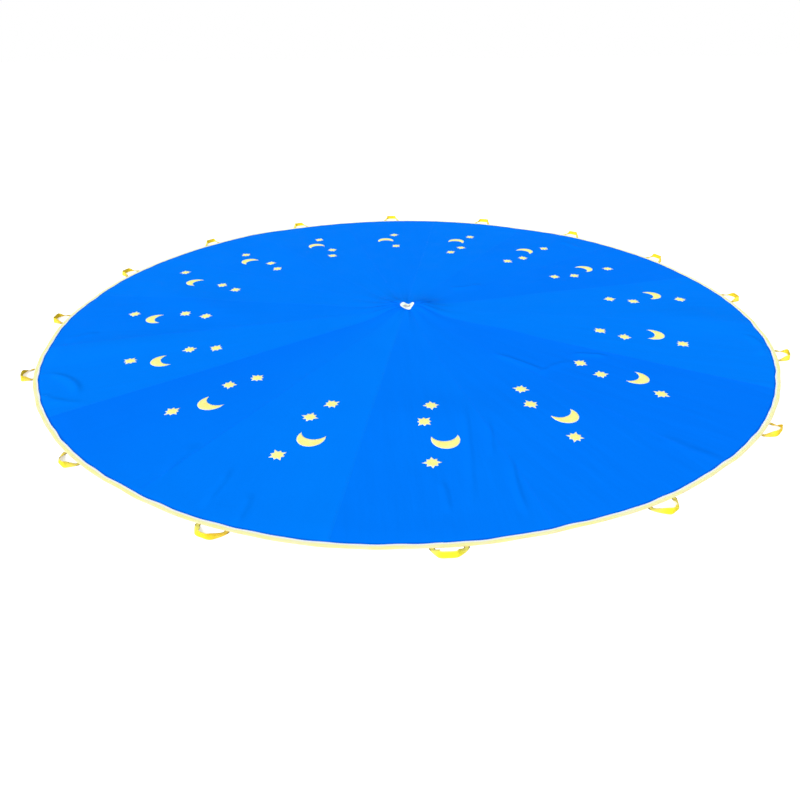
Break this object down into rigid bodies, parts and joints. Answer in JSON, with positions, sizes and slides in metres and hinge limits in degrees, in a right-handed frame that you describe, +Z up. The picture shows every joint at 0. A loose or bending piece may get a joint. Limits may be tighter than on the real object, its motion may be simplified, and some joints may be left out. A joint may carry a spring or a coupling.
{
  "type": "play parachute",
  "caption": "Round cloth play parachute laid out flat: wedge gores in one disc, folded tape round the rim and the central vent, and webbing hand loops that hinge at the rim.",
  "frame": {"origin": "on the ground at the middle of the canopy, under the vent", "axes": "+Z up out of the ground; -Y towards the front, where the first gore and its hand loop lie 4 degrees towards +X; gores and loops are numbered from there round towards +X"},
  "size_m": [3.7458, 3.7641, 0.0388],
  "materials": {
    "canopy_cloth": "thin woven nylon with a faint sheen",
    "binding_tape": "matt grosgrain tape",
    "handle_webbing": "matt woven webbing",
    "motif_print": "pale yellow ink printed on the cloth"
  },
  "bodies": {
    "canopy": {"gore_01": "canopy_cloth", "gore_02": "canopy_cloth", "gore_03": "canopy_cloth", "gore_04": "canopy_cloth", "gore_05": "canopy_cloth", "gore_06": "canopy_cloth", "gore_07": "canopy_cloth", "gore_08": "canopy_cloth", "gore_09": "canopy_cloth", "gore_10": "canopy_cloth", "gore_11": "canopy_cloth", "gore_12": "canopy_cloth", "gore_13": "canopy_cloth", "gore_14": "canopy_cloth", "gore_15": "canopy_cloth", "gore_16": "canopy_cloth", "rim_binding": "binding_tape"},
    "crown": {"vent_binding": "binding_tape"},
    "grip_01": {"handle_01": "handle_webbing"},
    "grip_02": {"handle_02": "handle_webbing"},
    "grip_03": {"handle_03": "handle_webbing"},
    "grip_04": {"handle_04": "handle_webbing"},
    "grip_05": {"handle_05": "handle_webbing"},
    "grip_06": {"handle_06": "handle_webbing"},
    "grip_07": {"handle_07": "handle_webbing"},
    "grip_08": {"handle_08": "handle_webbing"},
    "grip_09": {"handle_09": "handle_webbing"},
    "grip_10": {"handle_10": "handle_webbing"},
    "grip_11": {"handle_11": "handle_webbing"},
    "grip_12": {"handle_12": "handle_webbing"},
    "grip_13": {"handle_13": "handle_webbing"},
    "grip_14": {"handle_14": "handle_webbing"},
    "grip_15": {"handle_15": "handle_webbing"},
    "grip_16": {"handle_16": "handle_webbing"}
  },
  "joints": [
    {"name": "crown_lift", "type": "slide", "parent": "canopy", "child": "crown", "axis": [0, 0, 1], "range_m": [0, 0.35], "deforming": ["gore_01", "gore_02", "gore_03", "gore_04", "gore_05", "gore_06", "gore_07", "gore_08", "gore_09", "gore_10", "gore_11", "gore_12", "gore_13", "gore_14", "gore_15", "gore_16"]},
    {"name": "grip_01_swing", "type": "hinge", "parent": "canopy", "child": "grip_01", "pos_m": [0.13579, -1.83813, 0.0016], "axis": [-0.9972, -0.0742, 0], "range_deg": [0, 110]},
    {"name": "grip_02_swing", "type": "hinge", "parent": "canopy", "child": "grip_02", "pos_m": [0.83756, -1.63462, 0.0016], "axis": [-0.8898, -0.4564, 0], "range_deg": [0, 110]},
    {"name": "grip_03_swing", "type": "hinge", "parent": "canopy", "child": "grip_03", "pos_m": [1.38468, -1.20369, 0.0016], "axis": [-0.6561, -0.7547, 0], "range_deg": [0, 110]},
    {"name": "grip_04_swing", "type": "hinge", "parent": "canopy", "child": "grip_04", "pos_m": [1.73896, -0.58185, 0.0016], "axis": [-0.3173, -0.9483, 0], "range_deg": [0, 110]},
    {"name": "grip_05_swing", "type": "hinge", "parent": "canopy", "child": "grip_05", "pos_m": [1.8198, 0.13444, 0.0016], "axis": [0.0739, -0.9973, 0], "range_deg": [0, 110]},
    {"name": "grip_06_swing", "type": "hinge", "parent": "canopy", "child": "grip_06", "pos_m": [1.63035, 0.81286, 0.0016], "axis": [0.4462, -0.8949, 0], "range_deg": [0, 110]},
    {"name": "grip_07_swing", "type": "hinge", "parent": "canopy", "child": "grip_07", "pos_m": [1.21389, 1.36363, 0.0016], "axis": [0.7463, -0.6656, 0], "range_deg": [0, 110]},
    {"name": "grip_08_swing", "type": "hinge", "parent": "canopy", "child": "grip_08", "pos_m": [0.5974, 1.7179, 0.0016], "axis": [0.9451, -0.3268, 0], "range_deg": [0, 110]},
    {"name": "grip_09_swing", "type": "hinge", "parent": "canopy", "child": "grip_09", "pos_m": [-0.11323, 1.82514, 0.0016], "axis": [0.9982, 0.0603, 0], "range_deg": [0, 110]},
    {"name": "grip_10_swing", "type": "hinge", "parent": "canopy", "child": "grip_10", "pos_m": [-0.81133, 1.6434, 0.0016], "axis": [0.8968, 0.4424, 0], "range_deg": [0, 110]},
    {"name": "grip_11_swing", "type": "hinge", "parent": "canopy", "child": "grip_11", "pos_m": [-1.38587, 1.2143, 0.0016], "axis": [0.6596, 0.7516, 0], "range_deg": [0, 110]},
    {"name": "grip_12_swing", "type": "hinge", "parent": "canopy", "child": "grip_12", "pos_m": [-1.72974, 0.59391, 0.0016], "axis": [0.3226, 0.9465, 0], "range_deg": [0, 110]},
    {"name": "grip_13_swing", "type": "hinge", "parent": "canopy", "child": "grip_13", "pos_m": [-1.81839, -0.12715, 0.0016], "axis": [-0.0698, 0.9976, 0], "range_deg": [0, 110]},
    {"name": "grip_14_swing", "type": "hinge", "parent": "canopy", "child": "grip_14", "pos_m": [-1.6753, -0.74677, 0.0016], "axis": [-0.3982, 0.9173, 0], "range_deg": [0, 110]},
    {"name": "grip_15_swing", "type": "hinge", "parent": "canopy", "child": "grip_15", "pos_m": [-1.20508, -1.38629, 0.0016], "axis": [-0.7547, 0.6561, 0], "range_deg": [0, 110]},
    {"name": "grip_16_swing", "type": "hinge", "parent": "canopy", "child": "grip_16", "pos_m": [-0.59546, -1.75217, 0.0016], "axis": [-0.9464, 0.3231, 0], "range_deg": [0, 110]}
  ]
}
